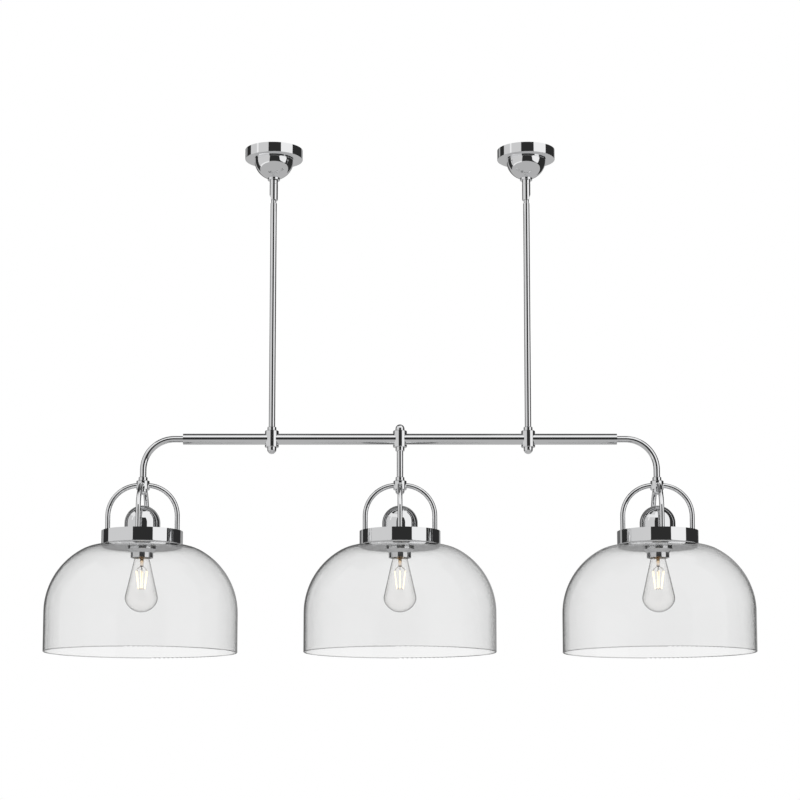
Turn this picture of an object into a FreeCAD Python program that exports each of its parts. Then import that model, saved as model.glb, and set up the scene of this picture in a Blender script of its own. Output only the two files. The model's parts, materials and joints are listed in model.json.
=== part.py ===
import FreeCAD, Part
import math
import os

# Linear island pendant: two ceiling canopies with hang-straight swivels carry two sectioned rods,
# a horizontal bar and three lamps. Each lamp has a hub, a four-armed yoke, a round fitter pan
# and an open clear glass shade over one screw-in bulb.
# Millimetres. X runs along the bar, -Y faces the viewer, Z is up. The origin lies on the ceiling
# plane, midway between the two canopies.

# ---------------------------------------------------------------- driving dimensions
LAMP_PITCH = 508.0
ROD_SPACING = 508.0

CANOPY_RADIUS = 57.7
CANOPY_HEIGHT = 20.0
CANOPY_WALL = 1.2
CANOPY_EDGE = 1.0
DOME_RADIUS = 39.6
DOME_WALL = 1.2
DOME_LIP_HEIGHT = 1.6
DOME_LIP_WIDTH = 1.0
COLLAR_RADIUS = 12.3
COLLAR_HEIGHT = 2.6
COLLAR_EDGE = 0.3

CROSSBAR_LENGTH = 104.0
CROSSBAR_WIDTH = 18.0
CROSSBAR_THICKNESS = 2.0
BOX_SCREW_SPACING_MIN = 70.0
BOX_SCREW_SPACING_MAX = 89.0
BOX_SCREW_HOLE_RADIUS = 2.2

THREAD_RADIUS = 5.0
THREAD_BORE = 3.2
THREAD_CLEARANCE = 0.05
THREAD_STOP = 1.2
PASS_CLEARANCE = 0.1
NIPPLE_LENGTH = 20.0
NUT_FLATS = 14.0
NUT_THICKNESS = 3.0

SLEEVE_RADIUS = 8.3
SLEEVE_WALL = 1.2
SLEEVE_LENGTH = 32.9
SLEEVE_CAP_HEIGHT = 8.2
SLEEVE_CAP_SPIGOT = 4.0
SLEEVE_CHAMFER = 0.35
SLOT_HALF_WIDTH = 6.0
SLOT_HEIGHT = 11.1
SLOT_ABOVE_PIVOT = 1.2
BALL_CLEARANCE = 0.2
NECK_RADIUS = 5.2
NECK_SHOW = 6.2

ROD_RADIUS = 6.35
ROD_WALL = 1.3
ROD_UPPER_LENGTH = 152.4
ROD_LOWER_LENGTH = 304.8
ROD_SEAT = 1.0
ROD_EDGE = 0.3

BAR_RADIUS = 10.9
BAR_WALL = 1.2
BAR_WIRE_HOLE = 4.0
BUSHING_LENGTH = 12.0

FITTING_RADIUS = 13.75
FITTING_HEIGHT = 33.2
FITTING_EDGE = 0.8
FITTING_COLLAR_RADIUS = 8.9
FITTING_COLLAR_HEIGHT = 7.6
FINIAL_RADIUS = 9.1
FINIAL_SKIRT = 4.0
STUD_RADIUS = 3.0
STUD_LENGTH = 4.0

DROP_TUBE_LENGTH = 54.0
END_BEND_RADIUS = 61.0
END_ARM_INSERT = 15.0
END_ARM_SHOW = 17.5

HUB_RADIUS = 13.0
HUB_HEIGHT = 18.0
HUB_COLLAR_RADIUS = 8.8
HUB_COLLAR_HEIGHT = 7.5
HUB_CAVITY_RADIUS = 9.5
HUB_ROOF = 3.5
HUB_CAP_RADIUS = 8.8
HUB_CAP_SKIRT = 3.2
HUB_CAP_ROUND = 6.0

ARM_RADIUS = 4.85
ARM_WALL = 0.9
ARM_START = 7.5
ARM_BEND_RADIUS = 61.1
ARM_STRAIGHT = 30.3
ARM_TAIL = 7.4
ARM_COUNT = 4
ARM_RIM_INSET = 11.1
ARM_NUT_FLATS = 13.0
ARM_NUT_THICKNESS = 4.0

PAN_HEIGHT = 28.3
PAN_WALL = 1.2
PAN_EDGE = 3.0
PLATE_THICKNESS = 2.0
SOCKET_DOME_RADIUS = 35.1
SOCKET_DOME_HEIGHT = 51.1
SOCKET_DOME_WALL = 1.0
SOCKET_DOME_FLANGE = 5.0

SOCKET_TOP_DROP = 6.0
SOCKET_SHOULDER_RADIUS = 25.0
SOCKET_SHOULDER_HEIGHT = 4.0
SOCKET_BODY_RADIUS = 21.0
SOCKET_TOP_RADIUS = 16.0
SOCKET_TOP_TAPER = 4.0
SOCKET_SLEEVE_RADIUS = 19.5
SOCKET_MOUTH_DROP = 22.5
SOCKET_MOUTH_RADIUS = 17.0
SOCKET_MOUTH_DEPTH = 7.0
SOCKET_WEB = 1.2
SOCKET_SHELL_WALL = 0.5
SOCKET_SHELL_LENGTH = 21.5
SHELL_CLEARANCE = 0.4
CONTACT_RADIUS = 4.0
CONTACT_THICKNESS = 0.5
CONTACT_GAP = 0.3

GASKET_THICKNESS = 0.8
GASKET_RADIUS = 27.0
GLASS_WALL = 2.8
GLASS_RADIUS = 188.9
GLASS_HEIGHT = 210.0
GLASS_FLAT_RADIUS = 80.0
GLASS_CROWN_RADIUS = 77.0
GLASS_CROWN_ANGLE = 30.0
GLASS_HOLE_CLEARANCE = 1.1

RETAINER_FLANGE_RADIUS = 28.4
RETAINER_FLANGE_HEIGHT = 3.5
RETAINER_SKIRT_RADIUS = 22.0
RETAINER_TAPER_HEIGHT = 7.0
RETAINER_HEIGHT = 20.4
RETAINER_FLARE_HOLLOW = 1.0

BULB_LENGTH = 140.0
BULB_RADIUS = 32.0
BULB_WALL = 0.8
BULB_SIDE_ROUND = 22.0
BULB_WIDEST = 28.0
BULB_TAPER = 13.0
BULB_BASE_RADIUS = 13.0
BULB_BASE_LENGTH = 26.5
BULB_BASE_WALL = 0.4
BULB_SEAT_HEIGHT = 4.5
BULB_CONE_HEIGHT = 5.0
BULB_BUTTON_RADIUS = 4.6
BULB_BUTTON_HEIGHT = 1.0
BULB_NECK_OVERLAP = 8.0
STEM_RADIUS = 3.0
STEM_DROP = 50.0
STEM_FLARE_HEIGHT = 6.0
FILAMENT_COUNT = 6
FILAMENT_RADIUS = 1.1
FILAMENT_TOP_RADIUS = 12.0
FILAMENT_BOTTOM_RADIUS = 7.0
FILAMENT_TOP_DROP = 58.6
FILAMENT_HEIGHT = 35.6
SUPPORT_WIRE_RADIUS = 0.5

# ---------------------------------------------------------------- derived lengths
BAR_LENGTH = 2 * (LAMP_PITCH - END_BEND_RADIUS - END_ARM_SHOW)
ARM_REACH = ARM_START + ARM_BEND_RADIUS
PAN_RADIUS = ARM_REACH + ARM_RIM_INSET

# ---------------------------------------------------------------- levels, from the ceiling down
DOME_CENTRE_Z = -CANOPY_HEIGHT
DOME_BOTTOM_Z = DOME_CENTRE_Z - DOME_RADIUS
COLLAR_BOTTOM_Z = DOME_BOTTOM_Z - COLLAR_HEIGHT
SLEEVE_TOP_Z = COLLAR_BOTTOM_Z - SLEEVE_CAP_HEIGHT
SLEEVE_BOTTOM_Z = SLEEVE_TOP_Z - SLEEVE_LENGTH
PIVOT_Z = SLEEVE_BOTTOM_Z + SLOT_HEIGHT - SLOT_ABOVE_PIVOT
ROD_TOP_Z = SLEEVE_BOTTOM_Z - NECK_SHOW
ROD_JOINT_Z = ROD_TOP_Z - ROD_UPPER_LENGTH
ROD_BOTTOM_Z = ROD_JOINT_Z - ROD_LOWER_LENGTH
FITTING_TOP_Z = ROD_BOTTOM_Z + ROD_SEAT - FITTING_COLLAR_HEIGHT
BAR_Z = FITTING_TOP_Z - FITTING_HEIGHT / 2
FITTING_BOTTOM_Z = FITTING_TOP_Z - FITTING_HEIGHT
DROP_TUBE_TOP_Z = FITTING_BOTTOM_Z - FITTING_COLLAR_HEIGHT + ROD_SEAT
HUB_SEAT_Z = DROP_TUBE_TOP_Z - DROP_TUBE_LENGTH
HUB_BODY_TOP_Z = HUB_SEAT_Z + ROD_SEAT - HUB_COLLAR_HEIGHT
HUB_BOTTOM_Z = HUB_BODY_TOP_Z - HUB_HEIGHT
ARM_TOP_Z = HUB_BODY_TOP_Z - HUB_HEIGHT / 2
PAN_TOP_Z = ARM_TOP_Z - ARM_BEND_RADIUS - ARM_STRAIGHT
PAN_BOTTOM_Z = PAN_TOP_Z - PAN_HEIGHT
PAN_FLOOR_Z = PAN_BOTTOM_Z + PAN_WALL
PLATE_BOTTOM_Z = PAN_TOP_Z - PLATE_THICKNESS
SOCKET_TOP_Z = PAN_TOP_Z - SOCKET_TOP_DROP
SOCKET_MOUTH_Z = PAN_BOTTOM_Z - SOCKET_MOUTH_DROP
GLASS_TOP_Z = PAN_BOTTOM_Z - GASKET_THICKNESS
GLASS_RIM_Z = GLASS_TOP_Z - GLASS_HEIGHT
RETAINER_TOP_Z = GLASS_TOP_Z - GLASS_WALL
SHELL_INNER_RADIUS = BULB_BASE_RADIUS + SHELL_CLEARANCE
SOCKET_BORE_RADIUS = SHELL_INNER_RADIUS + SOCKET_SHELL_WALL + PASS_CLEARANCE
BULB_TOP_Z = SOCKET_MOUTH_Z + BULB_SEAT_HEIGHT + BULB_BASE_LENGTH
BULB_TIP_Z = BULB_TOP_Z - BULB_LENGTH
SOCKET_FLOOR_Z = BULB_TOP_Z + CONTACT_GAP + CONTACT_THICKNESS

THREADED_BORE = THREAD_RADIUS + THREAD_CLEARANCE
THREAD_PASS = THREAD_RADIUS + PASS_CLEARANCE
ROD_COUNTERBORE = ROD_RADIUS + PASS_CLEARANCE
SLEEVE_BORE = SLEEVE_RADIUS - SLEEVE_WALL
BALL_RADIUS = SLEEVE_BORE - BALL_CLEARANCE

UP = FreeCAD.Vector(0, 0, 1)
ALONG_X = FreeCAD.Vector(1, 0, 0)
ORIGIN = FreeCAD.Vector(0, 0, 0)
SIDES = {"left": -1, "right": 1}
LAMPS = {"left": -LAMP_PITCH, "center": 0.0, "right": LAMP_PITCH}


# ---------------------------------------------------------------- shape helpers
def on_profile(station):
    """Point of a turned outline, given as (radius, z)."""
    return FreeCAD.Vector(station[0], 0, station[1])


def outline_face(stations):
    """Face inside a closed outline. A station is (radius, z), or a pair (via, end) for an arc."""
    edges = []
    here = stations[0]
    for station in stations[1:] + stations[:1]:
        if isinstance(station[0], tuple):
            via, there = station
            edges.append(Part.Arc(on_profile(here), on_profile(via), on_profile(there)).toShape())
        else:
            there = station
            edges.append(Part.makeLine(on_profile(here), on_profile(there)))
        here = there
    return Part.Face(Part.Wire(edges))


def turned(stations):
    """Solid of revolution about the Z axis."""
    return outline_face(stations).revolve(ORIGIN, UP, 360)


def polar(centre, radius, degrees):
    """Outline point at an angle from the outward radial direction, counted upwards."""
    angle = math.radians(degrees)
    return (centre[0] + radius * math.cos(angle), centre[1] + radius * math.sin(angle))


def cylinder(radius, z_low, z_high, x=0.0):
    return Part.makeCylinder(radius, z_high - z_low, FreeCAD.Vector(x, 0, z_low), UP)


def ring(inner, outer, z_low, z_high):
    """Plain turned ring or tube."""
    return turned([(inner, z_low), (outer, z_low), (outer, z_high), (inner, z_high)])


def edged_ring(inner, outer, z_low, z_high, edge):
    """Turned ring or tube with its two outer edges chamfered."""
    return turned([
        (inner, z_low),
        (outer - edge, z_low),
        (outer, z_low + edge),
        (outer, z_high - edge),
        (outer - edge, z_high),
        (inner, z_high),
    ])


def moved(shape, x, z=0.0):
    copy = shape.copy()
    copy.translate(FreeCAD.Vector(x, 0, z))
    return copy


def turned_about_z(shape, degrees):
    copy = shape.copy()
    copy.rotate(ORIGIN, UP, degrees)
    return copy


def hex_nut(flats, thickness, bore, z_low):
    """Hexagon nut on the Z axis."""
    corner = flats / math.sqrt(3)
    corners = [polar((0, 0), corner, 60 * step) for step in range(7)]
    wire = Part.makePolygon([FreeCAD.Vector(x, y, z_low) for x, y in corners])
    nut = Part.Face(wire).extrude(UP * thickness)
    return nut.cut(cylinder(bore, z_low, z_low + thickness))


def bent_rod(radius, lead_in, bend_radius, tail):
    """Solid round bar: straight along +X from the origin, a quarter bend, then straight down."""
    start = Part.Face(Part.Wire(Part.makeCircle(radius, ORIGIN, ALONG_X)))
    bend_start = FreeCAD.Vector(lead_in, 0, 0)
    bend_centre = FreeCAD.Vector(lead_in, 0, -bend_radius)
    bend_end = FreeCAD.Vector(lead_in + bend_radius, 0, -bend_radius)
    elbow_face = moved(start, lead_in)
    elbow = elbow_face.revolve(bend_centre, FreeCAD.Vector(0, 1, 0), 90)
    drop = Part.makeCylinder(radius, tail, bend_end - UP * tail, UP)
    bar = elbow.fuse(drop)
    if lead_in > 0:
        bar = bar.fuse(Part.makeCylinder(radius, bend_start.x, ORIGIN, ALONG_X))
    return bar.removeSplitter()


# ---------------------------------------------------------------- ceiling canopies and swivels
def canopy_pan():
    """Shallow spun cup, open towards the ceiling."""
    floor_z = -CANOPY_HEIGHT
    edge_centre = (CANOPY_RADIUS - CANOPY_EDGE, floor_z + CANOPY_EDGE)
    return turned([
        (THREAD_PASS, floor_z),
        (CANOPY_RADIUS - CANOPY_EDGE, floor_z),
        (polar(edge_centre, CANOPY_EDGE, -45), (CANOPY_RADIUS, floor_z + CANOPY_EDGE)),
        (CANOPY_RADIUS, 0),
        (CANOPY_RADIUS - CANOPY_WALL, 0),
        (CANOPY_RADIUS - CANOPY_WALL, floor_z + CANOPY_WALL),
        (THREAD_PASS, floor_z + CANOPY_WALL),
    ])


def canopy_dome():
    """Hemispherical hub under the pan, with a narrow stepped lip."""
    centre = (0.0, DOME_CENTRE_Z)
    inner_radius = DOME_RADIUS - DOME_WALL
    lip_z = DOME_CENTRE_Z - DOME_LIP_HEIGHT
    lip_start = math.sqrt(DOME_RADIUS ** 2 - DOME_LIP_HEIGHT ** 2)
    hole_outer_z = DOME_CENTRE_Z - math.sqrt(DOME_RADIUS ** 2 - THREAD_PASS ** 2)
    hole_inner_z = DOME_CENTRE_Z - math.sqrt(inner_radius ** 2 - THREAD_PASS ** 2)
    return turned([
        (THREAD_PASS, hole_outer_z),
        (polar(centre, DOME_RADIUS, -45), (lip_start, lip_z)),
        (DOME_RADIUS + DOME_LIP_WIDTH, lip_z),
        (DOME_RADIUS + DOME_LIP_WIDTH, DOME_CENTRE_Z),
        (inner_radius, DOME_CENTRE_Z),
        (polar(centre, inner_radius, -45), (THREAD_PASS, hole_inner_z)),
    ])


def mounting_bar():
    """Flat crossbar with two adjustable slots for the ceiling box screws."""
    half_length = CROSSBAR_LENGTH / 2
    half_width = CROSSBAR_WIDTH / 2
    bar = Part.makeBox(CROSSBAR_LENGTH, CROSSBAR_WIDTH, CROSSBAR_THICKNESS,
                       FreeCAD.Vector(-half_length, -half_width, -CROSSBAR_THICKNESS))
    bar = bar.cut(cylinder(THREADED_BORE, -CROSSBAR_THICKNESS, 0))
    for side in SIDES.values():
        inner = side * BOX_SCREW_SPACING_MIN / 2
        outer = side * BOX_SCREW_SPACING_MAX / 2
        slot = Part.makeBox(abs(outer - inner), 2 * BOX_SCREW_HOLE_RADIUS, CROSSBAR_THICKNESS,
                            FreeCAD.Vector(min(inner, outer), -BOX_SCREW_HOLE_RADIUS,
                                           -CROSSBAR_THICKNESS))
        for end in (inner, outer):
            slot = slot.fuse(cylinder(BOX_SCREW_HOLE_RADIUS, -CROSSBAR_THICKNESS, 0, end))
        bar = bar.cut(slot.removeSplitter())
    return bar


def canopy_nipple():
    """Threaded tube that ties crossbar, canopy and swivel, with its two lock nuts."""
    nipple = ring(THREAD_BORE, THREAD_RADIUS, SLEEVE_TOP_Z + THREAD_STOP, 0)
    nut_zs = (-CROSSBAR_THICKNESS - NUT_THICKNESS, -CANOPY_HEIGHT + CANOPY_WALL)
    nuts = [hex_nut(NUT_FLATS, NUT_THICKNESS, THREADED_BORE, z) for z in nut_zs]
    return Part.makeCompound([nipple] + nuts)


def collar_ring():
    """Small ring whose top is hollowed to sit on the dome."""
    blank = edged_ring(THREADED_BORE, COLLAR_RADIUS, COLLAR_BOTTOM_Z,
                       DOME_BOTTOM_Z + COLLAR_HEIGHT, COLLAR_EDGE)
    return blank.cut(Part.makeSphere(DOME_RADIUS, FreeCAD.Vector(0, 0, DOME_CENTRE_Z)))


def sleeve_cap():
    """Screw cap of the swivel: it closes the sleeve and takes the nipple."""
    spigot_z = SLEEVE_TOP_Z - SLEEVE_CAP_SPIGOT
    spigot_radius = SLEEVE_BORE - PASS_CLEARANCE
    return turned([
        (THREAD_BORE, spigot_z),
        (spigot_radius, spigot_z),
        (spigot_radius, SLEEVE_TOP_Z),
        (SLEEVE_RADIUS - SLEEVE_CHAMFER, SLEEVE_TOP_Z),
        (SLEEVE_RADIUS, SLEEVE_TOP_Z + SLEEVE_CHAMFER),
        (SLEEVE_RADIUS, COLLAR_BOTTOM_Z),
        (THREADED_BORE, COLLAR_BOTTOM_Z),
        (THREADED_BORE, SLEEVE_TOP_Z + THREAD_STOP),
        (THREAD_BORE, SLEEVE_TOP_Z + THREAD_STOP),
    ])


def swivel_sleeve(side):
    """Barrel of the hang-straight swivel: a ball seat, and an arched slot on the outward side."""
    barrel = turned([
        (SLEEVE_BORE, SLEEVE_TOP_Z),
        (SLEEVE_RADIUS - SLEEVE_CHAMFER, SLEEVE_TOP_Z),
        (SLEEVE_RADIUS, SLEEVE_TOP_Z - SLEEVE_CHAMFER),
        (SLEEVE_RADIUS, SLEEVE_BOTTOM_Z + SLEEVE_CHAMFER),
        (SLEEVE_RADIUS - SLEEVE_CHAMFER, SLEEVE_BOTTOM_Z),
        (SLOT_HALF_WIDTH, SLEEVE_BOTTOM_Z),
        (SLOT_HALF_WIDTH, PIVOT_Z - math.sqrt(SLEEVE_BORE ** 2 - SLOT_HALF_WIDTH ** 2)),
        (polar((0, PIVOT_Z), SLEEVE_BORE, -15), (SLEEVE_BORE, PIVOT_Z)),
    ])
    arch_z = SLEEVE_BOTTOM_Z + SLOT_HEIGHT - SLOT_HALF_WIDTH
    reach = 2 * SLEEVE_RADIUS
    arch = Part.makeCylinder(SLOT_HALF_WIDTH, reach, FreeCAD.Vector(0, 0, arch_z), ALONG_X * side)
    mouth = Part.makeBox(reach, 2 * SLOT_HALF_WIDTH, arch_z - SLEEVE_BOTTOM_Z + reach,
                         FreeCAD.Vector(min(0, side * reach), -SLOT_HALF_WIDTH,
                                        SLEEVE_BOTTOM_Z - reach))
    return barrel.cut(arch.fuse(mouth).removeSplitter())


def swivel_knuckle():
    """Ball and neck that hang in the sleeve and screw into the rod."""
    neck_meets_ball_z = PIVOT_Z - math.sqrt(BALL_RADIUS ** 2 - NECK_RADIUS ** 2)
    bore_leaves_ball_z = PIVOT_Z + math.sqrt(BALL_RADIUS ** 2 - THREAD_BORE ** 2)
    spigot_z = ROD_TOP_Z - NIPPLE_LENGTH / 2
    return turned([
        (THREAD_BORE, spigot_z),
        (THREAD_RADIUS, spigot_z),
        (THREAD_RADIUS, ROD_TOP_Z),
        (NECK_RADIUS, ROD_TOP_Z),
        (NECK_RADIUS, neck_meets_ball_z),
        (polar((0, PIVOT_Z), BALL_RADIUS, 0), (THREAD_BORE, bore_leaves_ball_z)),
    ])


# ---------------------------------------------------------------- rods, bar and fittings
def rod(z_low, z_high):
    return edged_ring(ROD_RADIUS - ROD_WALL, ROD_RADIUS, z_low, z_high, ROD_EDGE)


def thread_nipple(z_centre):
    return ring(THREAD_BORE, THREAD_RADIUS, z_centre - NIPPLE_LENGTH / 2,
                z_centre + NIPPLE_LENGTH / 2)


def cross_fitting(flip):
    """Turned cross fitting: body, rod collar, cross bore for the bar and a threaded finial hole.

    With flip the collar points down, as on the middle fitting.
    """
    half = FITTING_HEIGHT / 2
    collar_top = half + FITTING_COLLAR_HEIGHT
    body = turned([
        (0, -half),
        (FITTING_RADIUS - FITTING_EDGE, -half),
        (FITTING_RADIUS, -half + FITTING_EDGE),
        (FITTING_RADIUS, half - FITTING_EDGE),
        (FITTING_RADIUS - FITTING_EDGE, half),
        (FITTING_COLLAR_RADIUS, half),
        (FITTING_COLLAR_RADIUS, collar_top - FITTING_EDGE),
        (FITTING_COLLAR_RADIUS - FITTING_EDGE, collar_top),
        (0, collar_top),
    ])
    body = body.cut(cylinder(THREADED_BORE, 0, collar_top))
    body = body.cut(cylinder(ROD_COUNTERBORE, collar_top - ROD_SEAT, collar_top))
    body = body.cut(cylinder(STUD_RADIUS + THREAD_CLEARANCE, -half, 0))
    body = body.cut(Part.makeCylinder(BAR_RADIUS + THREAD_CLEARANCE, 2 * FITTING_RADIUS,
                                      FreeCAD.Vector(-FITTING_RADIUS, 0, 0), ALONG_X))
    if flip:
        body.rotate(ORIGIN, ALONG_X, 180)
    return moved(body, 0, BAR_Z)


def threaded_cap(end_outline, radius):
    """Screw-on cap hanging below z = 0: a given rounded end, and a stud that points up."""
    return turned(end_outline + [
        (radius, 0),
        (STUD_RADIUS, 0),
        (STUD_RADIUS, STUD_LENGTH),
        (0, STUD_LENGTH),
    ])


def finial_cap():
    """Cap of a cross fitting: a short skirt and a half ball."""
    return threaded_cap([
        (0, -FINIAL_SKIRT - FINIAL_RADIUS),
        (polar((0, -FINIAL_SKIRT), FINIAL_RADIUS, -45), (FINIAL_RADIUS, -FINIAL_SKIRT)),
    ], FINIAL_RADIUS)


def hub_cap():
    """Flatter cap under a lamp hub."""
    flat_radius = HUB_CAP_RADIUS - HUB_CAP_ROUND
    return threaded_cap([
        (0, -HUB_CAP_SKIRT - HUB_CAP_ROUND),
        (flat_radius, -HUB_CAP_SKIRT - HUB_CAP_ROUND),
        (polar((flat_radius, -HUB_CAP_SKIRT), HUB_CAP_ROUND, -45), (HUB_CAP_RADIUS, -HUB_CAP_SKIRT)),
    ], HUB_CAP_RADIUS)


def main_bar():
    """Horizontal tube, drilled for the leads where rods and drop tube meet it."""
    start = FreeCAD.Vector(-BAR_LENGTH / 2, 0, BAR_Z)
    bar = Part.makeCylinder(BAR_RADIUS, BAR_LENGTH, start, ALONG_X)
    bar = bar.cut(Part.makeCylinder(BAR_RADIUS - BAR_WALL, BAR_LENGTH, start, ALONG_X))
    for side in SIDES.values():
        bar = bar.cut(cylinder(BAR_WIRE_HOLE, BAR_Z, BAR_Z + BAR_RADIUS, side * ROD_SPACING / 2))
    return bar.cut(cylinder(BAR_WIRE_HOLE, BAR_Z - BAR_RADIUS, BAR_Z))


def bar_end_bushing(side):
    """Ring that centres the end arm in the end of the bar."""
    start = FreeCAD.Vector(side * (BAR_LENGTH / 2 - BUSHING_LENGTH), 0, BAR_Z)
    outer = Part.makeCylinder(BAR_RADIUS - BAR_WALL - THREAD_CLEARANCE, BUSHING_LENGTH, start,
                              ALONG_X * side)
    return outer.cut(Part.makeCylinder(ROD_RADIUS + THREAD_CLEARANCE, BUSHING_LENGTH, start,
                                       ALONG_X * side))


def end_arm(side):
    """Tube from the end of the bar, bent down through a quarter turn to the outer lamp."""
    start_x = BAR_LENGTH / 2 - END_ARM_INSERT
    lead_in = LAMP_PITCH - END_BEND_RADIUS - start_x
    tail = BAR_Z - END_BEND_RADIUS - HUB_SEAT_Z
    arm = bent_rod(ROD_RADIUS, lead_in, END_BEND_RADIUS, tail)
    arm = arm.cut(bent_rod(ROD_RADIUS - ROD_WALL, lead_in, END_BEND_RADIUS, tail))
    if side < 0:
        arm.rotate(ORIGIN, UP, 180)
    return moved(arm, side * start_x, BAR_Z)


# ---------------------------------------------------------------- lamp heads, built at X = 0
def lamp_hub():
    """Turned hub: a collar for the tube above, a hollow body with four side seats for the arms."""
    collar_top = HUB_BODY_TOP_Z + HUB_COLLAR_HEIGHT
    hub = turned([
        (THREADED_BORE, HUB_BODY_TOP_Z - HUB_ROOF),
        (HUB_CAVITY_RADIUS, HUB_BODY_TOP_Z - HUB_ROOF),
        (HUB_CAVITY_RADIUS, HUB_BOTTOM_Z + HUB_ROOF),
        (STUD_RADIUS + THREAD_CLEARANCE, HUB_BOTTOM_Z + HUB_ROOF),
        (STUD_RADIUS + THREAD_CLEARANCE, HUB_BOTTOM_Z),
        (HUB_RADIUS - FITTING_EDGE, HUB_BOTTOM_Z),
        (HUB_RADIUS, HUB_BOTTOM_Z + FITTING_EDGE),
        (HUB_RADIUS, HUB_BODY_TOP_Z - FITTING_EDGE),
        (HUB_RADIUS - FITTING_EDGE, HUB_BODY_TOP_Z),
        (HUB_COLLAR_RADIUS, HUB_BODY_TOP_Z),
        (HUB_COLLAR_RADIUS, collar_top - FITTING_EDGE),
        (HUB_COLLAR_RADIUS - FITTING_EDGE, collar_top),
        (ROD_COUNTERBORE, collar_top),
        (ROD_COUNTERBORE, HUB_SEAT_Z),
        (THREADED_BORE, HUB_SEAT_Z),
    ])
    hole = bent_rod(ARM_RADIUS + THREAD_CLEARANCE, ARM_START, ARM_BEND_RADIUS, ARM_STRAIGHT)
    hole = moved(hole, 0, ARM_TOP_Z)
    for step in range(ARM_COUNT):
        hub = hub.cut(turned_about_z(hole, 360 / ARM_COUNT * step))
    return hub


def yoke_arms():
    """Four bent tubes from the hub down through the fitter plate."""
    tail = ARM_STRAIGHT + ARM_TAIL
    arm = bent_rod(ARM_RADIUS, 0, ARM_BEND_RADIUS, tail)
    arm = arm.cut(bent_rod(ARM_RADIUS - ARM_WALL, 0, ARM_BEND_RADIUS, tail))
    arm = moved(arm, ARM_START, ARM_TOP_Z)
    return Part.makeCompound([turned_about_z(arm, 360 / ARM_COUNT * step)
                              for step in range(ARM_COUNT)])


def fitter_pan():
    """Polished pan with a rounded lower edge and a hole for the socket."""
    hole = SOCKET_SLEEVE_RADIUS + PASS_CLEARANCE
    corner = (PAN_RADIUS - PAN_EDGE, PAN_BOTTOM_Z + PAN_EDGE)
    inner_edge = PAN_EDGE - PAN_WALL
    return turned([
        (hole, PAN_BOTTOM_Z),
        (PAN_RADIUS - PAN_EDGE, PAN_BOTTOM_Z),
        (polar(corner, PAN_EDGE, -45), (PAN_RADIUS, PAN_BOTTOM_Z + PAN_EDGE)),
        (PAN_RADIUS, PAN_TOP_Z),
        (PAN_RADIUS - PAN_WALL, PAN_TOP_Z),
        (PAN_RADIUS - PAN_WALL, PAN_BOTTOM_Z + PAN_EDGE),
        (polar(corner, inner_edge, -45), (PAN_RADIUS - PAN_EDGE, PAN_FLOOR_Z)),
        (hole, PAN_FLOOR_Z),
    ])


def fitter_plate():
    """Cover disc in the pan's rim, which the arms hold."""
    plate = ring(THREADED_BORE, PAN_RADIUS - PAN_WALL - PASS_CLEARANCE, PLATE_BOTTOM_Z, PAN_TOP_Z)
    for step in range(ARM_COUNT):
        hole = cylinder(ARM_RADIUS + THREAD_CLEARANCE, PLATE_BOTTOM_Z, PAN_TOP_Z, ARM_REACH)
        plate = plate.cut(turned_about_z(hole, 360 / ARM_COUNT * step))
    return plate


def lamp_nuts():
    """Nuts under the plate on the four arms, and one above it on the socket's nipple."""
    nut = hex_nut(ARM_NUT_FLATS, ARM_NUT_THICKNESS, ARM_RADIUS + THREAD_CLEARANCE,
                  PLATE_BOTTOM_Z - ARM_NUT_THICKNESS)
    nut = moved(nut, ARM_REACH)
    nuts = [turned_about_z(nut, 360 / ARM_COUNT * step) for step in range(ARM_COUNT)]
    return nuts + [hex_nut(NUT_FLATS, NUT_THICKNESS, THREADED_BORE, PAN_TOP_Z)]


def socket_dome():
    """Bullet-shaped cover on the plate, with a turned-in foot."""
    centre = (0.0, PAN_TOP_Z + SOCKET_DOME_HEIGHT - SOCKET_DOME_RADIUS)
    inner_radius = SOCKET_DOME_RADIUS - SOCKET_DOME_WALL
    foot_z = PAN_TOP_Z + SOCKET_DOME_WALL
    foot_radius = SOCKET_DOME_RADIUS - SOCKET_DOME_FLANGE
    return turned([
        (foot_radius, PAN_TOP_Z),
        (SOCKET_DOME_RADIUS, PAN_TOP_Z),
        (SOCKET_DOME_RADIUS, centre[1]),
        (polar(centre, SOCKET_DOME_RADIUS, 45), (0, centre[1] + SOCKET_DOME_RADIUS)),
        (0, centre[1] + inner_radius),
        (polar(centre, inner_radius, 45), (inner_radius, centre[1])),
        (inner_radius, foot_z),
        (foot_radius, foot_z),
    ])


def socket_insulator():
    """Ceramic lampholder body: shoulder on the pan's floor, threaded sleeve through its hole."""
    shoulder_z = PAN_FLOOR_Z + SOCKET_SHOULDER_HEIGHT
    return turned([
        (0, SOCKET_FLOOR_Z),
        (SOCKET_BORE_RADIUS, SOCKET_FLOOR_Z),
        (SOCKET_BORE_RADIUS, SOCKET_MOUTH_Z + SOCKET_MOUTH_DEPTH),
        (SOCKET_MOUTH_RADIUS, SOCKET_MOUTH_Z + SOCKET_MOUTH_DEPTH),
        (SOCKET_MOUTH_RADIUS, SOCKET_MOUTH_Z),
        (SOCKET_SLEEVE_RADIUS, SOCKET_MOUTH_Z),
        (SOCKET_SLEEVE_RADIUS, PAN_FLOOR_Z),
        (SOCKET_SHOULDER_RADIUS, PAN_FLOOR_Z),
        (SOCKET_SHOULDER_RADIUS, shoulder_z),
        (SOCKET_BODY_RADIUS, shoulder_z),
        (SOCKET_BODY_RADIUS, SOCKET_TOP_Z - SOCKET_TOP_TAPER),
        (SOCKET_TOP_RADIUS, SOCKET_TOP_Z),
        (THREADED_BORE, SOCKET_TOP_Z),
        (THREADED_BORE, SOCKET_FLOOR_Z + SOCKET_WEB),
        (0, SOCKET_FLOOR_Z + SOCKET_WEB),
    ])


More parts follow.
